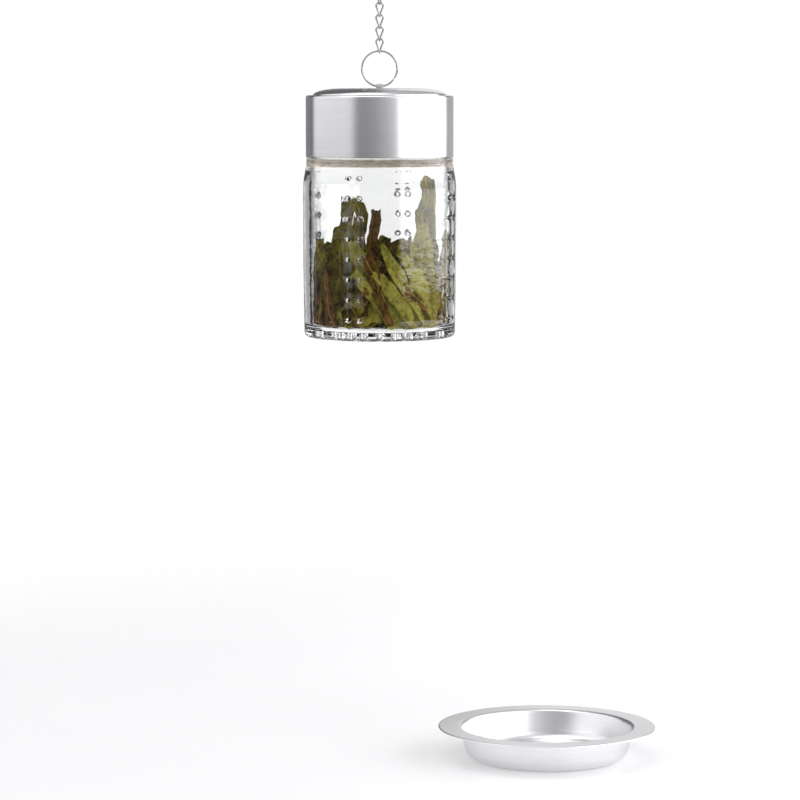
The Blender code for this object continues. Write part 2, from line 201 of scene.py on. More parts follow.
# %% [markdown]
# ## Shader helpers
# Node trees are easier to read as arithmetic.  This class wraps a socket, so that `a * 2 + b`
# adds the Math nodes that it needs.


# %% A socket that can be calculated with
class Value:
    """A number that changes over a surface, held as a node's output socket."""

    def __init__(self, maker, socket):
        self.maker = maker
        self.socket = socket

    def math(self, operation, *others):
        return self.maker.node("Math", {"operation": operation}, *others)

    def __add__(self, other):
        return self.math("ADD", self, other)

    def __sub__(self, other):
        return self.math("SUBTRACT", self, other)

    def __rsub__(self, other):
        return self.math("SUBTRACT", other, self)

    def __mul__(self, other):
        return self.math("MULTIPLY", self, other)

    def __truediv__(self, other):
        return self.math("DIVIDE", self, other)

    def power(self, other):
        return self.math("POWER", self, other)

    def absolute(self):
        return self.math("ABSOLUTE", self)

    def between(self, low, high):
        """0 below low, 1 above high, smooth in between."""
        settings = {"interpolation_type": "SMOOTHSTEP"}
        return self.maker.node("MapRange", settings, self, low, high, 0.0, 1.0)

    __radd__ = __add__
    __rmul__ = __mul__


# %% One method that makes any node
class Finish:
    """A material under construction."""

    def __init__(self, name, tree=None):
        if tree is None:
            self.material = bpy.data.materials.new(name)
            self.material.use_nodes = True
            tree = self.material.node_tree
            self.shader = tree.nodes["Principled BSDF"]
        self.tree = tree

    def node(self, kind, settings=None, *inputs, output=0, **named):
        """Makes a node: settings first, then its sockets in order or by name."""
        made = self.tree.nodes.new("ShaderNode" + kind)
        for key, value in (settings or {}).items():
            if key == "stops":
                self.stops(made.color_ramp, value)
            else:
                setattr(made, key, value)
        for slot, value in list(enumerate(inputs)) + list(named.items()):
            name = slot.replace("_", " ") if isinstance(slot, str) else slot
            self.feed(made.inputs[name], value)
        return Value(self, made.outputs[output])

    def feed(self, socket, value):
        if isinstance(value, Value):
            self.tree.links.new(value.socket, socket)
        else:
            socket.default_value = value

    @staticmethod
    def stops(ramp, stops):
        """Each stop is a place and a colour."""
        while len(ramp.elements) < len(stops):
            ramp.elements.new(1.0)
        for element, (place, colour) in zip(ramp.elements, stops):
            element.position = place
            element.color = colour

    def place(self):
        return self.node("TexCoord", None, output="Object")

    def parts(self, vector):
        """The three numbers of a vector."""
        split = self.node("SeparateXYZ", None, vector).socket.node
        return [Value(self, socket) for socket in split.outputs]

    def vector(self, x, y, z):
        return self.node("CombineXYZ", None, x, y, z)

    def grain(self, vector, scale, detail=2.0, rough=0.5):
        """Cloudy noise from 0 to 1."""
        return self.node("TexNoise", None, vector, Scale=scale, Detail=detail, Roughness=rough)

    def mix(self, factor, a, b):
        """Mixes two colours."""
        made = self.tree.nodes.new("ShaderNodeMix")
        made.data_type = "RGBA"
        self.feed(made.inputs[0], factor)
        self.feed(made.inputs[6], a)
        self.feed(made.inputs[7], b)
        return Value(self, made.outputs[2])

    def bump(self, height, strength, distance):
        bumped = self.node("Bump", None, Strength=strength, Distance=distance, Height=height)
        self.feed(self.shader.inputs["Normal"], bumped)

    def set(self, **sockets):
        """Sets the shader's own sockets; an underscore stands for a space."""
        for key, value in sockets.items():
            self.feed(self.shader.inputs[key.replace("_", " ")], value)


def colour(red, green, blue):
    return (red, green, blue, 1.0)


def dress(piece, finish, body):
    """Gives a piece its finish and the body that it rides on."""
    piece.data.materials.clear()
    piece.data.materials.append(finish.material)
    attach(piece, body)


# %% [markdown]
# ## Steel
# Turned steel is brushed while it spins, so its fine lines run round the axis: level on the skirt
# and in circles on the flat.  Noise squeezed thin across height plus radius draws both.  The lines
# change the roughness a little and tip the surface a little, which smears every reflection.


# %% Brushed steel
def brushed_steel(name, x, y, tint, roughness, line, depth, streak):
    """x and y place the axis; line is how fine the marks are, depth how deep, streak how dark."""
    finish = Finish(name)
    px, py, pz = finish.parts(finish.place())
    dx, dy = px - x, py - y
    radius = (dx * dx + dy * dy).power(0.5)
    along = radius + pz
    lines = finish.grain(finish.vector(px * 40.0, py * 40.0, along * line), 1.0, 3.0, 0.65)
    broad = finish.grain(finish.vector(px * 25.0, py * 25.0, along * (line / 9.0)), 1.0, 2.0)
    smudge = finish.grain(finish.place(), 90.0, 3.0)
    dark = [c * (1.0 - streak) for c in tint]
    finish.set(
        Base_Color=finish.mix(lines.between(0.3, 0.7), colour(*dark), colour(*tint)),
        Metallic=1.0,
        Roughness=lines * 0.08 + broad * 0.03 + smudge * 0.05 + (roughness - 0.08),
        Anisotropic=0.35,
    )
    finish.bump(lines + broad * 0.3, 0.35, depth)
    return finish


lid_steel = brushed_steel(
    "lid brushed steel",
    x=0.0,
    y=0.0,
    tint=(0.84, 0.84, 0.86),
    roughness=0.20,
    line=9000.0,
    depth=0.004 * MM,
    streak=0.09,
)
tray_steel = brushed_steel(
    "tray satin steel",
    x=TRAY_X,
    y=TRAY_Y,
    tint=(0.86, 0.86, 0.868),
    roughness=0.30,
    line=7000.0,
    depth=0.004 * MM,
    streak=0.05,
)
strap_steel = brushed_steel(
    "strap bead-blasted steel",
    x=0.0,
    y=0.0,
    tint=(0.50, 0.50, 0.52),
    roughness=0.50,
    line=5000.0,
    depth=0.010 * MM,
    streak=0.15,
)
print("steel finishes made")

# %% [markdown]
# ## Wire
# Drawn wire is bright, with faint marks from the die.  Here its colour is kept dark, a painted shade
# for the dark room that the thin wire reflects.  A coarse noise darkens it further in random patches
# and adds a little dullness.

# %% Drawn wire
wire_steel = Finish("drawn steel wire")
die_marks = wire_steel.grain(wire_steel.place(), 4200.0, 2.0)
dull = wire_steel.grain(wire_steel.place(), 420.0, 3.0)
darker_patches = dull.between(0.35, 0.75)
# Painted shade: both wire colours are kept dark for the dark room reflected in the thin wire.
wire_steel.set(
    Base_Color=wire_steel.mix(darker_patches, colour(0.44, 0.44, 0.445), colour(0.28, 0.28, 0.285)),
    Metallic=1.0,
    Roughness=die_marks * 0.10 + dull * 0.10 + 0.10,
)
wire_steel.bump(die_marks, 0.3, 0.002 * MM)
print("wire finish made")

# %% [markdown]
# ## Glass
# Blown glass isn't quite true: its wall swells by hundredths of a millimetre, which makes the
# grey edges waver.  A wide, weak bump gives that.  The colour stays almost white, with the trace of
# green that thick glass shows at its edges.  Under the lid the seat is ground, so a narrow band there
# is dull.  Its warm streaks are a painted reflection of the pale collar seen through the glass, and a
# faint painted glow brightens the band, which lies in the lid's shade.

# %% Clear glass
BAND_FOOT = SHOULDER - 20.6 * MM
BAND_TOP = SHOULDER - 17.6 * MM
clear_glass = Finish("clear glass")
gx, gy, gz = clear_glass.parts(clear_glass.place())
swell = clear_glass.grain(clear_glass.vector(gx * 90.0, gy * 90.0, gz * 55.0), 1.0, 2.0)
ripple = clear_glass.grain(clear_glass.vector(gx, gy, gz * 1.6), 420.0, 1.0)
above_foot = gz.between(BAND_FOOT, BAND_FOOT + 0.7 * MM)
streaks = clear_glass.grain(clear_glass.vector(gx * 0.5, gy * 0.5, gz * 3.0), 900.0, 3.0)
band = above_foot * (1.0 - gz.between(BAND_TOP - 0.3 * MM, BAND_TOP))
clean = clear_glass.mix(swell, colour(0.985, 0.995, 0.99), colour(0.97, 0.985, 0.975))
# Painted reflection: warm streaks in the band under the lid stand for the pale collar seen through the
# glass.
painted_band_streaks = streaks.between(0.35, 0.65)
painted_band_tint = clear_glass.mix(painted_band_streaks, colour(0.98, 0.96, 0.93), colour(0.84, 0.79, 0.73))
painted_band_glow = clear_glass.mix(painted_band_streaks, colour(0.15, 0.138, 0.12), colour(0.04, 0.034, 0.026))
clear_glass.set(
    Base_Color=clear_glass.mix(band, clean, painted_band_tint),
    Roughness=band * (0.04 + streaks * 0.12),
    # Painted light: the band glows faintly to brighten it in the lid's shade.
    Emission_Color=clear_glass.mix(band, colour(0.0, 0.0, 0.0), painted_band_glow),
    Emission_Strength=1.0,
    IOR=1.47,
    Transmission_Weight=1.0,
)
clear_glass.bump(swell + ripple * 0.25, 0.25, 0.35 * MM)
print("glass finish made")

# %% [markdown]
# ## Plastic and silicone
# Both are pale and slightly see-through, so light gets a little way in.  Subsurface scattering on
# the shader's own sockets gives that, and fine noise keeps them from looking like paint.


# %% Pale moulded finishes
def pale_moulding(name, light, dark, roughness, grain_scale):
    finish = Finish(name)
    specks = finish.grain(finish.place(), grain_scale, 3.0)
    clouds = finish.grain(finish.place(), 140.0, 2.0)
    finish.set(
        Base_Color=finish.mix(clouds, colour(*light), colour(*dark)),
        Roughness=specks * 0.15 + roughness,
        Subsurface_Weight=0.25,
        Subsurface_Scale=0.6 * MM,
    )
    finish.bump(specks, 0.25, 0.02 * MM)
    return finish


collar_plastic = pale_moulding("collar plastic", (0.83, 0.80, 0.72), (0.77, 0.74, 0.66), 0.35, 2500.0)
seal_silicone = pale_moulding("seal silicone", (0.80, 0.79, 0.75), (0.74, 0.73, 0.69), 0.5, 1800.0)
print("moulded finishes made")

# %% [markdown]
# ## Lid
# The lid is one pressed sheet: a domed panel, a groove, a flat ledge, a small corner and a straight
# skirt.  It could be a cylinder with a bevel, but the sheet's own thickness shows at the skirt's
# edge, so the profile goes down the outside and back up the inside.


# %% Lid shell
AXIS_R = 0.3 * MM  # the first and last circle of a turned piece


def lid_profile():
    dome_r, flat_r, top = 19.0 * MM, 10.5 * MM, PANEL_RISE
    dome = [(AXIS_R, SHOULDER + top), (flat_r * 0.6, SHOULDER + top)]
    for step in range(13):
        turn = math.radians(90.0 * step / 12)
        out = flat_r + (dome_r - flat_r) * math.sin(turn)
        dome.append((out, SHOULDER + top * math.cos(turn) + 0.02 * MM))
    groove_r, groove_z = 0.2 * MM, SHOULDER - 0.1 * MM
    groove = arc((dome_r + groove_r, groove_z), groove_r, 180.0, 360.0, 6)
    groove += [(dome_r + 2 * groove_r + 0.05 * MM, SHOULDER)]
    corner_r = 0.55 * MM
    corner = arc((LID_R - corner_r, SHOULDER - corner_r), corner_r, 90.0, 0.0, 6)
    hem_r = SHEET / 2
    hem = arc((LID_R - hem_r, lid_low.z + hem_r), hem_r, 0.0, -180.0, 6)
    inside = arc((LID_R - corner_r - SHEET, SHOULDER - corner_r - SHEET), corner_r, 0.0, 90.0, 3)
    under = [(dome_r + groove_r, SHOULDER - 1.6 * SHEET), (dome_r - SHEET, SHOULDER - SHEET)]
    under += [(flat_r + 3.0 * MM, SHOULDER + top - 2.4 * SHEET), (flat_r, SHOULDER + top - SHEET)]
    return dome + groove + corner + hem + inside + under + [(AXIS_R, SHOULDER + top - SHEET)]


lid = turned("lid_cap", lid_profile(), sides=192)
dress(lid, lid_steel, "lid")

# %% [markdown]
# The strap's legs pass through a slot in the panel.  A block the size of the slot is cut out of the
# lid with a Boolean.

# %% Strap slot
strap_low, strap_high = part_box("ring_strap")
STRAP_SIDE = strap_high.x
STRAP_T = 0.3 * MM
STRAP_IN_R = 0.4 * MM
PIVOT_Z = strap_high.z - STRAP_IN_R - STRAP_T
SLOT_CLEAR = 0.1 * MM

deselect()
bpy.ops.mesh.primitive_cube_add(size=1.0, location=(0, 0, lid_high.z))
slot_cutter = bpy.context.object
slot_cutter.scale = (2 * (STRAP_SIDE + SLOT_CLEAR), 2 * (STRAP_IN_R + STRAP_T + SLOT_CLEAR), 3 * MM)
cut = lid.modifiers.new("slot", "BOOLEAN")
cut.operation = "DIFFERENCE"
cut.object = slot_cutter
apply_modifiers(lid)
bpy.data.objects.remove(slot_cutter)
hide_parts("lid_shell")
print("lid faces after the slot:", len(lid.data.polygons))


# %% [markdown]
# ## Ring strap
# A strip of steel is bent over the ring.  A flat face the size of the strip's section is extruded
# up as a leg, spun half a turn over the wire and extruded down again.


# %% Strap
def make_strap():
    deselect()
    middle = STRAP_IN_R + STRAP_T / 2
    foot_z = strap_low.z + STRAP_T
    bpy.ops.mesh.primitive_plane_add(size=1.0, location=(0, -middle, foot_z))
    made = bpy.context.object
    made.scale = (2 * STRAP_SIDE, STRAP_T, 1.0)
    bpy.ops.object.transform_apply(location=True, rotation=False, scale=True)
    bpy.ops.object.mode_set(mode="EDIT")
    bpy.ops.mesh.select_all(action="SELECT")
    leg = (0, 0, PIVOT_Z - foot_z)
    bpy.ops.mesh.extrude_region_move(TRANSFORM_OT_translate={"value": leg})
    bpy.ops.mesh.spin(steps=16, angle=math.pi, center=(0, 0, PIVOT_Z), axis=(1, 0, 0))
    bpy.ops.mesh.extrude_region_move(TRANSFORM_OT_translate={"value": (0, 0, -leg[2])})
    bpy.ops.mesh.select_all(action="SELECT")
    bpy.ops.mesh.remove_doubles(threshold=0.0005 * MM)
    bpy.ops.mesh.normals_make_consistent(inside=False)
    bpy.ops.object.mode_set(mode="OBJECT")
    rounding = made.modifiers.new("edges", "BEVEL")
    rounding.width = 0.05 * MM
    rounding.segments = 2
    rounding.limit_method = "ANGLE"
    apply_modifiers(made)
    return settle(made, "ring_strap_bent")


strap = make_strap()
dress(strap, strap_steel, "lid")
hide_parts("ring_strap")
heights = [vertex.co.z for vertex in strap.data.vertices]
print("strap rises", round((max(heights) - min(heights)) / MM, 2), "mm")

# %% [markdown]
# ## Wire pieces
# The hook, the ring and the chain's links are all round wire.  A curve with a bevel is wire by its
# nature, so each is a curve through its centre line, turned into a mesh with twelve sides.


# %% Wire from a centre line
def wire(name, points, radius, closed=False):
    deselect()
    curve = bpy.data.curves.new(name, "CURVE")
    curve.dimensions = "3D"
    curve.bevel_depth = radius
    curve.bevel_resolution = 4
    curve.use_fill_caps = True
    line = curve.splines.new("POLY")
    line.points.add(len(points) - 1)
    for slot, point in zip(line.points, points):
        slot.co = (*point, 1.0)
    line.use_cyclic_u = closed
    made = bpy.data.objects.new(name, curve)
    bpy.context.scene.collection.objects.link(made)
    pick(made)
    bpy.ops.object.convert(target="MESH")
    return settle(bpy.context.object, name, smooth=60.0)


# %% [markdown]
# ## Chain
# Each link is an oval whose foot is turned a quarter from its head, so the chain lies flat in
# neither direction and looks like a row of crossing strands.  Head and foot are half circles, and
# the twist eases in and out along the sides.

# %% One link's centre line
LINK_WIRE_R = 0.25 * MM  # a shade stouter than the model, which needs its play
LINK_HALF_L = 1.95 * MM
LINK_HALF_W = 1.03 * MM
LINK_POINTS = 64


def link_line(middle):
    straight = LINK_HALF_L - LINK_HALF_W
    points = []
    for step in range(LINK_POINTS):
        angle = math.tau * (step + 0.5) / LINK_POINTS
        across = LINK_HALF_W * math.cos(angle)
        along = LINK_HALF_W * math.sin(angle) + math.copysign(straight, math.sin(angle))
        share = 0.5 - along / LINK_HALF_L / 2
        twist = math.pi / 2 * share * share * (3 - 2 * share)
        points.append(middle + Vector((across * math.cos(twist), across * math.sin(twist), along)))
    return points


# %% All the links
links = sorted(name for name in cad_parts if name.startswith("chain_link_"))
for node in links:
    low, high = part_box(node)
    link = wire(node + "_wire", link_line((low + high) / 2), LINK_WIRE_R, closed=True)
    dress(link, wire_steel, node)
    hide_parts(node)
print("links:", len(links), "each of", len(link.data.polygons), "faces")

# %% [markdown]
# ## Ring
# The ring is a loop of wire bent shut, and the cut shows at its lower right.

# %% Ring
RING_WIRE_R = 0.25 * MM
RING_R = (ring_high.x - ring_low.x) / 2 - RING_WIRE_R
ring_centre = Vector((0, 0, PIVOT_Z + RING_R))
RING_CUT = math.radians(-35.0)
RING_GAP = 0.05
RING_STEPS = 120

ring_line = []
for step in range(RING_STEPS + 1):
    angle = RING_CUT + RING_GAP / 2 + (math.tau - RING_GAP) * step / RING_STEPS
    ring_line.append(ring_centre + Vector((math.cos(angle), 0, math.sin(angle))) * RING_R)
ring = wire("lid_ring_wire", ring_line, RING_WIRE_R)
dress(ring, wire_steel, "lid_ring")
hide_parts("lid_ring")
print("ring is", round(2 * (RING_R + RING_WIRE_R) / MM, 2), "mm across")

# %% [markdown]
# ## Rim hook
# The wire is bent into an open eye, a short sway that brings the crook over the chain, the crook
# and a tip that flares out so that it doesn't scratch.  Each bend meets the next on a shared
# tangent, which is why the centres are worked out rather than placed.

# %% Hook
HOOK_WIRE_R = 0.45 * MM
EYE_R = 1.6 * MM
CROOK_R = 4.6 * MM
BEND_R = 1.6 * MM
TIP_R = 1.5 * MM
SHANK = 3.4 * MM


def hook_line():
    crook_z = -(CROOK_R - HOOK_WIRE_R)
    eye_z = crook_z - CROOK_R - SHANK - EYE_R
    eye = arc((0.0, eye_z), EYE_R, 118.0, 405.0, 40)
    bend_z = eye_z + EYE_R * math.sqrt(2.0) + BEND_R * (math.sqrt(2.0) - 1.0)
    bend = arc((BEND_R, bend_z), BEND_R, 225.0, 180.0, 8)
    lean = math.radians(70.0)
    sway_r = CROOK_R * math.cos(lean) / (1.0 - math.cos(lean))
    sway_z = crook_z - (CROOK_R + sway_r) * math.sin(lean)
    sway = arc((sway_r, sway_z), sway_r, 180.0, 110.0, 12)
    crook = arc((0.0, crook_z), CROOK_R, -70.0, 205.0, 56)[1:]
    out = math.radians(205.0)
    reach = CROOK_R + TIP_R
    tip = arc((reach * math.cos(out), crook_z + reach * math.sin(out)), TIP_R, 25.0, -35.0, 10)[1:]
    return [Vector((0.0, y, z)) for y, z in eye + bend + sway + crook + tip]


hook = wire("rim_hook_wire", hook_line(), HOOK_WIRE_R)
dress(hook, wire_steel, "rim_hook")
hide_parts("rim_hook")
print("hook faces:", len(hook.data.polygons))

# %% [markdown]
# ## Glass cup
# The wall is one closed shell: under the foot, up the outside, over the rim and down the inside.
# Rounded corners matter more on glass than on anything else, because each one gathers light.


# %% Cup profile
def cup_profile():
    """Stations in millimetres: out from the axis, and up from the lid's shoulder."""

    def at(points):
        return [(r * MM, SHOULDER + z * MM) for r, z in points]

    foot, floor_z, wall_in = -68.7, -FLOOR_BELOW, 19.6
    outside = [(0.3, foot), (12.0, foot)] + arc((20.0, foot + 1.5), 1.5, -90.0, 0.0, 8)
    outside += [(21.62, -60.0), (21.76, -50.0), (21.8, -40.0), (21.8, -30.0), (21.8, -26.2)]
    outside += [(21.72, -24.6), (21.52, -23.0), (21.25, -21.6), (21.0, -20.4), (20.85, -19.4)]
    outside += arc((20.55, -17.98), 0.3, 0.0, 90.0, 5) + arc((18.8, -17.18), 0.5, 270.0, 180.0, 4)
    outside += arc((17.3, -4.2), 1.0, 0.0, 180.0, 10)
    inside = [(16.3, -13.6), (16.45, -14.8), (17.0, -16.2), (17.9, -17.6), (18.8, -18.9)]
    inside += [(19.35, -20.1), (wall_in, -21.6), (19.58, -40.0), (19.45, -55.0), (19.3, -63.0)]
    inside += arc((17.3, floor_z + 2.0), 2.0, 0.0, -90.0, 8) + [(10.0, floor_z), (0.3, floor_z)]
    return at(outside + inside)


cup = turned("glass_cup_wall", cup_profile(), sides=160)

# %% [markdown]
# ## Holes
# Each hole is drilled from outside and flares into a small oval dimple.  One cutter is modelled as
# a pin with a flared end, then copied to every place, and one Boolean takes them all out.

# %% Where the holes are
HOLE_GROUPS = 4
GROUP_TURN = math.radians(-19.6)
HALF_PAIR = math.radians(4.45)
HOLE_ROWS = 8
HOLE_TOP = SHOULDER - 23.05 * MM
HOLE_PITCH = 5.68 * MM
FLOOR_RINGS = ((0.0, 1), (6.0 * MM, 6), (12.0 * MM, 12))  # radius and number of holes
wall_count = HOLE_GROUPS * 2 * HOLE_ROWS
floor_count = sum(count for _, count in FLOOR_RINGS)
print("holes planned:", wall_count, "in the wall,", floor_count, "in the floor")

# %% One cutter
WALL_HOLE_R = 0.55 * MM
FLOOR_HOLE_R = 0.6 * MM
FLARE_DEPTH = 0.75 * MM
FLARE_START, FLARE_END = 1.35, 2.0  # times the hole's own radius
WALL_FLARE_WIDE = 1.45
PIN_BELOW, PIN_ABOVE = 3 * MM, 1.2 * MM


def flared_pin(radius, wide):
    """A pin along +Z with its flare starting at the origin; wide stretches the flare sideways."""
    deselect()
    bpy.ops.mesh.primitive_circle_add(vertices=16, radius=radius, location=(0, 0, -PIN_BELOW))
    pin = bpy.context.object
    bpy.ops.object.transform_apply(location=True, rotation=False, scale=False)
    bpy.ops.object.mode_set(mode="EDIT")
    bpy.ops.mesh.select_all(action="SELECT")
    stations = (
        (PIN_BELOW - FLARE_DEPTH, 1.0, 1.0),
        (FLARE_DEPTH * 0.75, FLARE_START, wide),
        (FLARE_DEPTH * 0.25, FLARE_END / FLARE_START, 1.0),
        (PIN_ABOVE, FLARE_START, 1.0),
    )
    for rise, grow, stretch in stations:
        bpy.ops.mesh.extrude_region_move(TRANSFORM_OT_translate={"value": (0, 0, rise)})
        bpy.ops.transform.resize(value=(grow * stretch, grow, 1.0), center_override=(0, 0, 0))
    bpy.ops.mesh.select_all(action="SELECT")
    bpy.ops.mesh.fill_holes(sides=0)
    bpy.ops.mesh.normals_make_consistent(inside=False)
    bpy.ops.object.mode_set(mode="OBJECT")
    return pin


def copy_to(model, matrix):
    """A copy with its own mesh, moved in its mesh."""
    made = bpy.data.objects.new("hole", model.data.copy())
    made.data.transform(matrix)
    bpy.context.scene.collection.objects.link(made)
    return made


# %% Drill the cup
def drill(target):
    wall_pin = flared_pin(WALL_HOLE_R, WALL_FLARE_WIDE)
    floor_pin = flared_pin(FLOOR_HOLE_R, 1.0)
    cutters = []
    for group in range(HOLE_GROUPS):
        for side in (-1, 1):
            around = GROUP_TURN + math.tau * group / HOLE_GROUPS + side * HALF_PAIR
            turn = Matrix.Rotation(around, 4, "Z") @ Matrix.Rotation(math.pi / 2, 4, "X")
            outward = Vector((math.sin(around), -math.cos(around), 0.0))
            for row in range(HOLE_ROWS):
                spot = outward * CUP_R + Vector((0, 0, HOLE_TOP - HOLE_PITCH * row))
                cutters.append(copy_to(wall_pin, Matrix.Translation(spot) @ turn))
    down = Matrix.Rotation(math.pi, 4, "X")
    for radius, count in FLOOR_RINGS:
        for k in range(count):
            angle = math.tau * k / count
            spot = Vector((radius * math.cos(angle), radius * math.sin(angle), cup_low.z))
            cutters.append(copy_to(floor_pin, Matrix.Translation(spot) @ down))
    pick(cutters[0])
    for cutter in cutters:
        cutter.select_set(True)
    bpy.ops.object.join()
    drill_bit = bpy.context.object
    step = target.modifiers.new("holes", "BOOLEAN")
    step.operation = "DIFFERENCE"
    step.object = drill_bit
    apply_modifiers(target)
    for used in (drill_bit, wall_pin, floor_pin):
        bpy.data.objects.remove(used)
    return len(cutters)


holes = drill(cup)
settle(cup, "glass_cup_wall", smooth=50.0)
dress(cup, clear_glass, "glass_cup")
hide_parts("glass_cup")
print("holes:", holes, "cup faces:", len(cup.data.polygons))

# %% [markdown]
# ## Collar and seal
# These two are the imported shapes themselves, which are right already, so they only get a finish.

# %% Finish the collar and the seal
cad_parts["threaded_collar"].material_slots[0].material = collar_plastic.material
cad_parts["lid_seal"].material_slots[0].material = seal_silicone.material
print("collar and seal dressed")

# %% [markdown]
# ## Drip tray
# The tray is pressed from one sheet.  Its floor has a shallow step, its corner is round, its wall
# leans out a little, and its flange has a rounded edge.


# %% Tray
def tray_profile():
    """Stations in millimetres: out from the tray's own axis, and up from the table."""

    def at(points):
        return [(r * MM, TABLE + z * MM) for r, z in points]

    t, height, flange_r = 0.5, (tray_high.z - TABLE) / MM, 30.0
    top = [(0.3, t), (13.0, t), (16.4, t)] + arc((17.0, t + 0.15), 0.15, -90.0, -10.0, 3)
    top += [(17.3, t + 0.3), (18.4, t + 0.3)]
    top += arc((19.2, t + 3.2), 3.15, -85.0, -5.0, 10)
    top += arc((23.4 + 1.0, height - 1.0), 1.0, 175.0, 90.0, 6)
    rim = arc((flange_r - 0.25, height - 0.25), 0.25, 90.0, -90.0, 6)
    under = [(25.0, height - t)] + arc((24.4, height - 1.0), 0.5, 90.0, 175.0, 4)
    under += arc((19.2, 3.7), 3.7, -5.0, -90.0, 10) + [(10.0, 0.0), (0.3, 0.0)]
    return at(top + rim + under)


tray = turned("drip_tray_sheet", tray_profile(), sides=192, x=TRAY_X, y=TRAY_Y)
dress(tray, tray_steel, "drip_tray")
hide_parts("drip_tray")

# %% [markdown]
# ## Tea leaves
# Wet leaves are what the cup is for, and they fill most of what is seen.  A leaf starts as a grid.
# Its outline is pointed or torn off short, it folds along its midrib, curls across and bends along
# its length, and noise of two sizes crumples it.  A simulation could settle them, but a formula
# keeps each leaf where it was put.  The vector noise starts from the clock, so the crumples are
# different in every run.

# %% Leaf finish
leaf_finish = Finish("wet tea leaf")
leaf_uv = leaf_finish.node("TexCoord", None, output="UV")
across, along, _ = leaf_finish.parts(leaf_uv)
tint = leaf_finish.node("Attribute", {"attribute_name": "tint"}, output="Fac")
side = (across - 0.5).absolute() * 2.0
patches = leaf_finish.grain(leaf_finish.place(), 300.0, 4.0, 0.65)
fine = leaf_finish.grain(leaf_finish.place(), 1500.0, 4.0, 0.6)
vein_wave = leaf_finish.node("Math", {"operation": "SINE"}, (along * 11.0 + side * 1.3) * math.tau)
veins = vein_wave.between(0.8, 1.0) * (1.0 - side.between(0.8, 1.0))
midrib = 1.0 - side.between(0.03, 0.10)
mottle = patches * 0.6 + fine * 0.4
spots = mottle.between(0.38, 0.62)
olive = leaf_finish.mix(spots, colour(0.060, 0.046, 0.002), colour(0.29, 0.23, 0.010))
lime = leaf_finish.mix(mottle.between(0.36, 0.60), colour(0.17, 0.145, 0.008), colour(0.48, 0.43, 0.07))
brown = leaf_finish.mix(spots, colour(0.035, 0.010, 0.001), colour(0.25, 0.11, 0.018))
wander = tint + patches * 0.24 - 0.12
green = leaf_finish.mix(wander.between(0.28, 0.42), lime, olive)
body_colour = leaf_finish.mix(wander.between(0.58, 0.70), green, brown)
rib_colour = leaf_finish.mix(midrib * 0.6 + veins * 0.22, body_colour, colour(0.42, 0.36, 0.11))
leaf_finish.set(
    Base_Color=rib_colour,
    Roughness=fine * 0.3 + 0.4,
    Specular_IOR_Level=0.1,
)
leaf_finish.bump(veins * 0.3 + midrib * 0.5 + fine * 0.9 + patches, 0.8, 0.45 * MM)
print("leaf finish made")

# %% Keep a leaf in the cup
CUP_FLOOR = SHOULDER - FLOOR_BELOW * MM
LEAF_ROOM = 18.9 * MM
OFF_FLOOR = 0.35 * MM
CORNER_RISE = 2.2 * MM
LEAF_T = 0.2 * MM


def keep_inside(point):
    """Holds a point within the cup: off the floor, off the wall and out of the round corner."""
    point.z = max(point.z, CUP_FLOOR + OFF_FLOOR)
    corner = max(0.0, CUP_FLOOR + CORNER_RISE - point.z)
    room = LEAF_ROOM - corner
    out = math.hypot(point.x, point.y)
    if out > room:
        point.x *= room / out
        point.y *= room / out
    return point


# %% Shape one leaf
def leaf_half(v, width, torn, seed):
    """Half the blade's width at v, from 0 at the stem to 1 at the tip."""
    if torn:
        shape = 1.0 - 0.1 * v - 0.42 * v * v
    else:
        shape = math.sin(math.pi * (0.06 + 0.93 * v) ** 0.8) ** 0.7
    ragged = 1.0 + 0.22 * noise.noise(Vector((v * 7.0, seed, 0.0)))
    return max(0.15 * MM, width / 2 * shape * ragged)


def make_leaf(length, width, base, aim, face, curl, bend, crumple, seed, shade, torn=False, fold=0.2):
    """One crumpled leaf from its stem's foot at base, along aim, with its hollow side towards face."""
    deselect()
    bpy.ops.mesh.primitive_grid_add(x_subdivisions=14, y_subdivisions=32, size=1.0)
    leaf = bpy.context.object
    forward = Vector(aim).normalized()
    upward = (Vector(face) - forward * forward.dot(Vector(face))).normalized()
    facing = Matrix((forward.cross(upward), forward, upward)).transposed()
    for vertex in leaf.data.vertices:
        u, v = vertex.co.x * 2.0, vertex.co.y + 0.5
        half = leaf_half(v, width, torn, seed)
        if torn and v > 0.97:
            v += 0.025 * noise.noise(Vector((u * 2.5, seed, 3.0)))
        x = half * math.sin(curl * u) / curl
        z = half * ((1.0 - math.cos(curl * u)) / curl + fold * abs(u))
        y = length * math.sin(bend * v) / bend
        z += length * (1.0 - math.cos(bend * v)) / bend
        spot = Vector((x, y, z))
        shift = Vector((seed * 3.7, seed, 0.0))
        broad = noise.noise_vector(spot * 150.0 + shift)
        small = noise.noise_vector(spot * 450.0 + shift)
        spot += (broad + 0.5 * small) * crumple
        vertex.co = keep_inside(Vector(base) + facing @ spot)
    shade_slot = leaf.data.attributes.new("tint", "FLOAT", "POINT")
    for value in shade_slot.data:
        value.value = shade
    sheet = leaf.modifiers.new("thickness", "SOLIDIFY")
    sheet.thickness = LEAF_T
    sheet.offset = 0.0
    apply_modifiers(leaf)
    return leaf


def in_cup(x, y, z):
    """A place in millimetres from the middle of the cup's floor."""
    return Vector((x * MM, y * MM, CUP_FLOOR + z * MM))


def join_leaves(leaves, name):
    pick(leaves[0])
    for leaf in leaves:
        leaf.select_set(True)
    bpy.ops.object.join()
    joined = settle(bpy.context.object, name, smooth=70.0)
    dress(joined, leaf_finish, "glass_cup")
    print(name, "leaves:", len(leaves), "faces:", len(joined.data.polygons))


# %% [markdown]
# Broad leaves line the wall, which is what the glass shows: a round that stands and a round that
# lies along the floor's edge.  More leaves fill the middle, so that no light comes through.

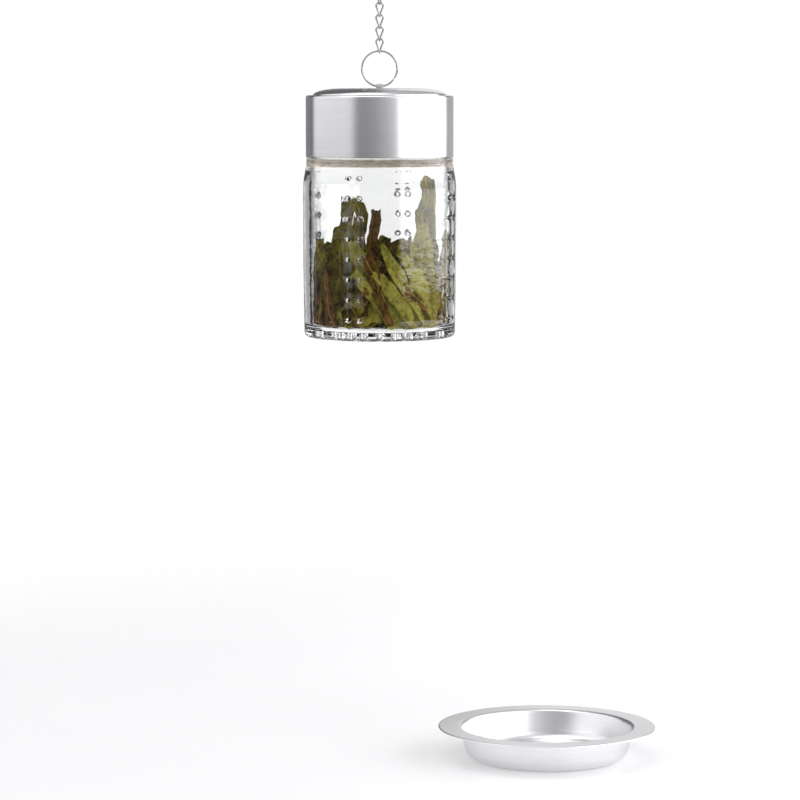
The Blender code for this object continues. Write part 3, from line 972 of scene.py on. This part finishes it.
# %% Leaves along the wall
chance = random.Random(11)
ROUND = 30  # leaves in one round
wall_leaves = []
for k in range(ROUND * 2):
    lying = k >= ROUND
    around = math.tau * k / ROUND + chance.uniform(-0.12, 0.12)
    lean = chance.choice((-1.3, 1.3)) + chance.uniform(-0.2, 0.2) if lying else chance.uniform(-0.9, 0.9)
    outward = Vector((math.sin(around), -math.cos(around), 0.0))
    sideways = Vector((math.cos(around), math.sin(around), 0.0))
    crowd = 0.86 if math.cos(around) > 0.6 else 1.0  # makes room in front for those that stand out
    foot = outward * chance.uniform(15.5, 18.2) * crowd - sideways * math.sin(lean) * 8.0
    # The draws in this call stay in this order; a change there gives other leaves.
    wall_leaves.append(
        make_leaf(
            length=chance.uniform(15, 23) * MM,
            width=chance.uniform(6.0, 12.0) * MM,
            base=in_cup(foot.x, foot.y, chance.uniform(1.5, 5.0) if lying else chance.uniform(-2.0, 5.0)),
            aim=sideways * math.sin(lean) + Vector((0, 0, math.cos(lean))) + outward * 0.1,
            face=-outward + Vector((chance.uniform(-0.5, 0.5), chance.uniform(-0.5, 0.5), 0.0)),
            curl=chance.uniform(0.4, 1.5),
            bend=chance.uniform(0.1, 0.6),
            crumple=chance.uniform(0.9, 2.0) * MM,
            seed=float(k) + 0.5,
            shade=chance.random(),
            torn=chance.random() < 0.55,
            fold=chance.uniform(0.0, 0.4),
        )
    )
join_leaves(wall_leaves, "tea_leaves_wall")

# %% Leaves in the middle
MIDDLE = 22
middle_leaves = []
for k in range(MIDDLE):
    around, out = chance.uniform(0, math.tau), 11.0 * math.sqrt(chance.random())
    middle_leaves.append(
        make_leaf(
            length=chance.uniform(15, 24) * MM,
            width=chance.uniform(7.0, 12.0) * MM,
            base=in_cup(out * math.sin(around), out * math.cos(around), chance.uniform(-1.0, 8.0)),
            aim=(chance.uniform(-0.7, 0.7), chance.uniform(-0.5, 0.5), chance.uniform(0.3, 1.0)),
            face=(chance.uniform(-0.6, 0.6), -1.0, chance.uniform(-0.4, 0.4)),
            curl=chance.uniform(0.4, 1.8),
            bend=chance.uniform(0.15, 0.9),
            crumple=chance.uniform(0.8, 2.0) * MM,
            seed=float(k) + 80.5,
            shade=chance.random(),
            torn=chance.random() < 0.5,
        )
    )
join_leaves(middle_leaves, "tea_leaves_middle")

# %% [markdown]
# A few leaves stand out: a tall brown one at the left with a torn top, two beside it, narrow pale
# ones that slant down to the right, a broad one at the right that reaches nearly to the neck, and a
# few dark slivers between them.  Each line below is one leaf: length, width, foot, aim, face, curl,
# bend, crumple, shade and tear.

# %% Leaves that stand up
TO_FRONT = (0.0, -1.0, 0.0)
STANDING = (
    (39.0, 9.0, (-14.5, -8.5, 0.0), (0.20, -0.02, 1.0), (-0.3, -1.0, 0.0), 1.3, 0.12, 1.5, 0.56, True),
    (27.0, 12.0, (-15.0, -6.0, -1.0), (-0.02, -0.02, 1.0), (-0.6, -1.0, 0.0), 1.0, 0.2, 1.9, 0.47, True),
    (36.5, 9.0, (-6.5, -12.0, 0.0), (0.03, 0.02, 1.0), (0.2, -1.0, 0.0), 1.5, -0.2, 1.3, 0.54, True),
    (34.5, 6.5, (-3.7, -9.0, 0.0), (0.02, 0.1, 1.0), (0.4, -1.0, 0.0), 1.2, 0.2, 1.1, 0.66, True),
    (29.0, 4.6, (-7.5, -16.8, 26.0), (0.42, 0.02, -0.9), (-0.2, -1.0, 0.1), 1.1, 0.2, 0.9, 0.14, False),
    (27.0, 5.4, (0.3, -18.3, 25.0), (0.50, 0.02, -0.85), (0.1, -1.0, 0.2), 1.2, -0.2, 0.9, 0.05, False),
    (24.0, 5.0, (-2.0, -18.3, 17.0), (0.62, 0.0, -0.75), (0.2, -1.0, 0.3), 1.0, 0.3, 0.9, 0.20, False),
    (24.0, 6.0, (5.5, -17.5, 23.0), (0.50, 0.15, -0.8), (0.4, -1.0, 0.1), 1.3, 0.2, 1.0, 0.10, False),
    (42.5, 12.5, (12.5, -10.5, 0.0), (-0.01, 0.0, 1.0), (0.4, -1.0, 0.0), 0.9, 0.1, 1.5, 0.48, True),
    (30.0, 13.0, (11.5, -12.5, 0.0), (-0.02, 0.0, 1.0), (0.5, -1.0, 0.0), 0.8, 0.15, 1.7, 0.34, True),
    (28.0, 10.0, (16.5, -4.0, 0.0), (-0.02, 0.0, 1.0), (1.0, -0.6, 0.0), 1.0, 0.2, 1.5, 0.50, True),
    (27.0, 9.0, (5.0, -12.0, 0.0), (0.06, 0.0, 1.0), (0.1, -1.0, 0.0), 1.0, 0.3, 1.4, 0.38, True),
    (26.0, 9.0, (-1.0, 10.0, 0.0), (0.1, 0.0, 1.0), TO_FRONT, 1.0, 0.3, 1.4, 0.62, True),
    (22.0, 4.5, (-3.5, -17.6, 22.0), (0.30, 0.0, -0.95), (0.0, -1.0, 0.2), 1.2, 0.2, 0.8, 0.93, True),
    (20.0, 5.0, (-12.5, -12.8, 1.0), (-0.25, 0.0, 0.9), (-0.7, -1.0, 0.0), 1.1, 0.3, 1.0, 0.96, True),
    (20.0, 4.5, (3.5, -17.6, 14.0), (0.75, 0.1, -0.5), (0.3, -1.0, 0.3), 1.2, 0.3, 0.8, 0.90, True),
    (17.0, 5.0, (-15.5, -9.0, 0.0), (-0.1, 0.1, 1.0), (-1.0, -0.7, 0.0), 1.2, 0.3, 1.2, 0.98, True),
    (16.0, 5.0, (16.3, -8.3, 0.0), (0.05, 0.1, 1.0), (1.0, -0.7, 0.0), 1.2, 0.3, 1.2, 0.92, True),
)
standing = []
for index, (length, width, foot, aim, face, curl, bend, crumple, shade, torn) in enumerate(STANDING):
    size = (length * MM, width * MM)
    seed = 160.5 + index
    leaf = make_leaf(*size, in_cup(*foot), aim, face, curl, bend, crumple * MM, seed, shade, torn)
    standing.append(leaf)
join_leaves(standing, "tea_leaves_standing")

# %% [markdown]
# ## Light
# Steel shows what stands round it.  A studio gives it broad white panels with black strips between
# them, and those strips draw the dark edges that make a round thing look round.  The world holds
# this room: a ramp round the horizon, a bright panel on the right, a grey wall above the back, grey
# overhead and white underfoot.  A dark band just below the horizon in front is the table's edge,
# which keeps the glass from veiling the leaves.  A grey band behind shows in mirror-like surfaces
# only, for the lid's flat ledge.  The camera itself sees plain white.

# %% The room
# Place round the horizon and brightness: 0 and 1 lie behind, 0.25 left, 0.5 in front, 0.75 right.
STRIPS = (
    (0.0, 1.0),
    (0.04, 1.0),
    (0.055, 0.42),
    (0.100, 0.40),
    (0.106, 0.0),
    (0.148, 0.0),
    (0.156, 1.08),
    (0.372, 1.14),
    (0.405, 0.36),
    (0.480, 0.46),
    (0.560, 0.80),
    (0.615, 1.40),
    (0.850, 1.40),
    (0.858, 0.0),
    (0.894, 0.0),
    (0.901, 0.40),
    (0.945, 0.42),
    (0.960, 1.0),
    (1.0, 1.0),
)
world = bpy.data.worlds.new("studio room")
bpy.context.scene.world = world
world.use_nodes = True
room = Finish("studio room", world.node_tree)
wx, wy, wz = room.parts(room.node("TexCoord", None, output="Generated"))
round_horizon = room.node("Math", {"operation": "ARCTAN2"}, wx, wy * -1.0) / math.tau + 0.5
stops = [(p, colour(v, v * 0.985, v)) for p, v in STRIPS]
strips = room.node("ValToRGB", {"stops": stops}, round_horizon)


def elevation(degrees):
    """How high a direction at so many degrees above the horizon reaches on the unit ball."""
    return math.sin(math.radians(degrees))


def between_edges(value, start, end, soft):
    """1 from start to end, falling to 0 over soft outside them."""
    return value.between(start - soft, start) * (1.0 - value.between(end, end + soft))


WALL_TOP = elevation(48.0)
in_front = between_edges(round_horizon, 0.16, 0.85, 0.02)
mirrored = room.node("LightPath", None, output="Is Glossy Ray") * (
    1.0 - room.node("LightPath", None, output="Is Transmission Ray")
)
table_edge = in_front * between_edges(wz, elevation(-9.0), elevation(-2.4), 0.012)
with_edge = room.mix(table_edge * 0.9, strips, colour(0.0, 0.0, 0.0))
behind_left = 1.0 - round_horizon.between(0.10, 0.17)
behind_right = round_horizon.between(0.83, 0.90)
wall_left = behind_left * between_edges(wz, elevation(10.0), WALL_TOP, 0.05)
wall_right = behind_right * between_edges(wz, elevation(24.0), WALL_TOP, 0.05)
with_wall = room.mix(wall_left, with_edge, colour(0.13, 0.13, 0.135))
with_wall = room.mix(wall_right, with_wall, colour(0.50, 0.49, 0.49))
low_band = between_edges(wz, elevation(-10.0), elevation(5.0), 0.03) * mirrored
with_wall = room.mix(low_band * behind_left, with_wall, colour(0.24, 0.235, 0.24))
with_wall = room.mix(low_band * behind_right, with_wall, colour(0.46, 0.45, 0.455))
overhead = wz.between(WALL_TOP, elevation(62.0))
underfoot = 1.0 - wz.between(elevation(-38.0), elevation(-26.0))
with_ends = room.mix(overhead, with_wall, colour(0.55, 0.54, 0.56))
with_ends = room.mix(underfoot, with_ends, colour(0.92, 0.92, 0.93))
right_panel = between_edges(round_horizon, 0.598, 0.836, 0.014) * between_edges(
    wz, elevation(-3.9), elevation(40.0), 0.004
)
with_panel = room.mix(right_panel, with_ends, colour(2.9, 2.9, 2.95))
seen = room.node("LightPath", None, output="Is Camera Ray")
background = world.node_tree.nodes["Background"]
room.feed(background.inputs["Color"], room.mix(seen, with_panel, colour(1.0, 1.0, 1.0)))
background.inputs["Strength"].default_value = 1.0
bpy.context.scene.view_settings.view_transform = "Standard"
print("strips round the horizon:", len(STRIPS))

# %% A large soft lamp
LAMP_SIDE = 0.9
LAMP_WATTS = 4.0
LIT_POINT = Vector((0, 0, -0.1))
deselect()
bpy.ops.object.light_add(type="AREA", location=(-0.25, -0.15, 0.95))
lamp = bpy.context.object
lamp.data.shape = "RECTANGLE"
lamp.data.size = LAMP_SIDE
lamp.data.size_y = LAMP_SIDE
lamp.data.energy = LAMP_WATTS
lamp.rotation_euler = (LIT_POINT - lamp.location).to_track_quat("-Z", "Y").to_euler()
print("lamp", round((lamp.location - LIT_POINT).length, 2), "m away")

# %% [markdown]
# ## Floor
# A pale table that glows a little, so that only the soft shadow under the tray darkens it.  It is a
# disc that fades out at its edge, because a hard edge would show in the steel and behind the tray.

# %% Table
TABLE_FADE_FROM = 0.20
TABLE_FADE_TO = 0.42
table_finish = Finish("pale table")
tx, ty, _ = table_finish.parts(table_finish.place())
cloud = table_finish.grain(table_finish.place(), 30.0, 2.0)
dx, dy = tx - TRAY_X, ty - TRAY_Y
from_tray = (dx * dx + dy * dy).power(0.5)
table_finish.set(
    Base_Color=table_finish.mix(cloud, colour(0.76, 0.76, 0.77), colour(0.74, 0.74, 0.745)),
    Roughness=cloud * 0.08 + 0.32,
    Emission_Color=colour(1.0, 1.0, 1.0),
    Emission_Strength=0.24,
    Alpha=1.0 - from_tray.between(TABLE_FADE_FROM, TABLE_FADE_TO),
)
deselect()
bpy.ops.mesh.primitive_circle_add(
    vertices=96, radius=TABLE_FADE_TO, fill_type="NGON", location=(TRAY_X, TRAY_Y, TABLE - 0.02 * MM)
)
table_disc = bpy.context.object
bpy.ops.object.mode_set(mode="EDIT")
bpy.ops.mesh.inset(thickness=TABLE_FADE_TO / 3)
bpy.ops.object.mode_set(mode="OBJECT")
settle(table_disc, "table_top")
table_disc.data.materials.append(table_finish.material)
table_disc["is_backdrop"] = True
print("table at", round(TABLE / MM, 1), "mm")

# %% [markdown]
# ## Sizes kept
# Both boxes, the model's and the looks', are printed for comparison. The looks have to stay inside
# the model's own box.

# %% Write the sizes and finish
seen_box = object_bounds()
for label, index in (("width", 0), ("depth", 1), ("height", 2)):
    cad_side = (cad_box[1][index] - cad_box[0][index]) / MM
    seen_side = (seen_box[1][index] - seen_box[0][index]) / MM
    print(label, "CAD", round(cad_side, 2), "looks", round(seen_side, 2), "mm")
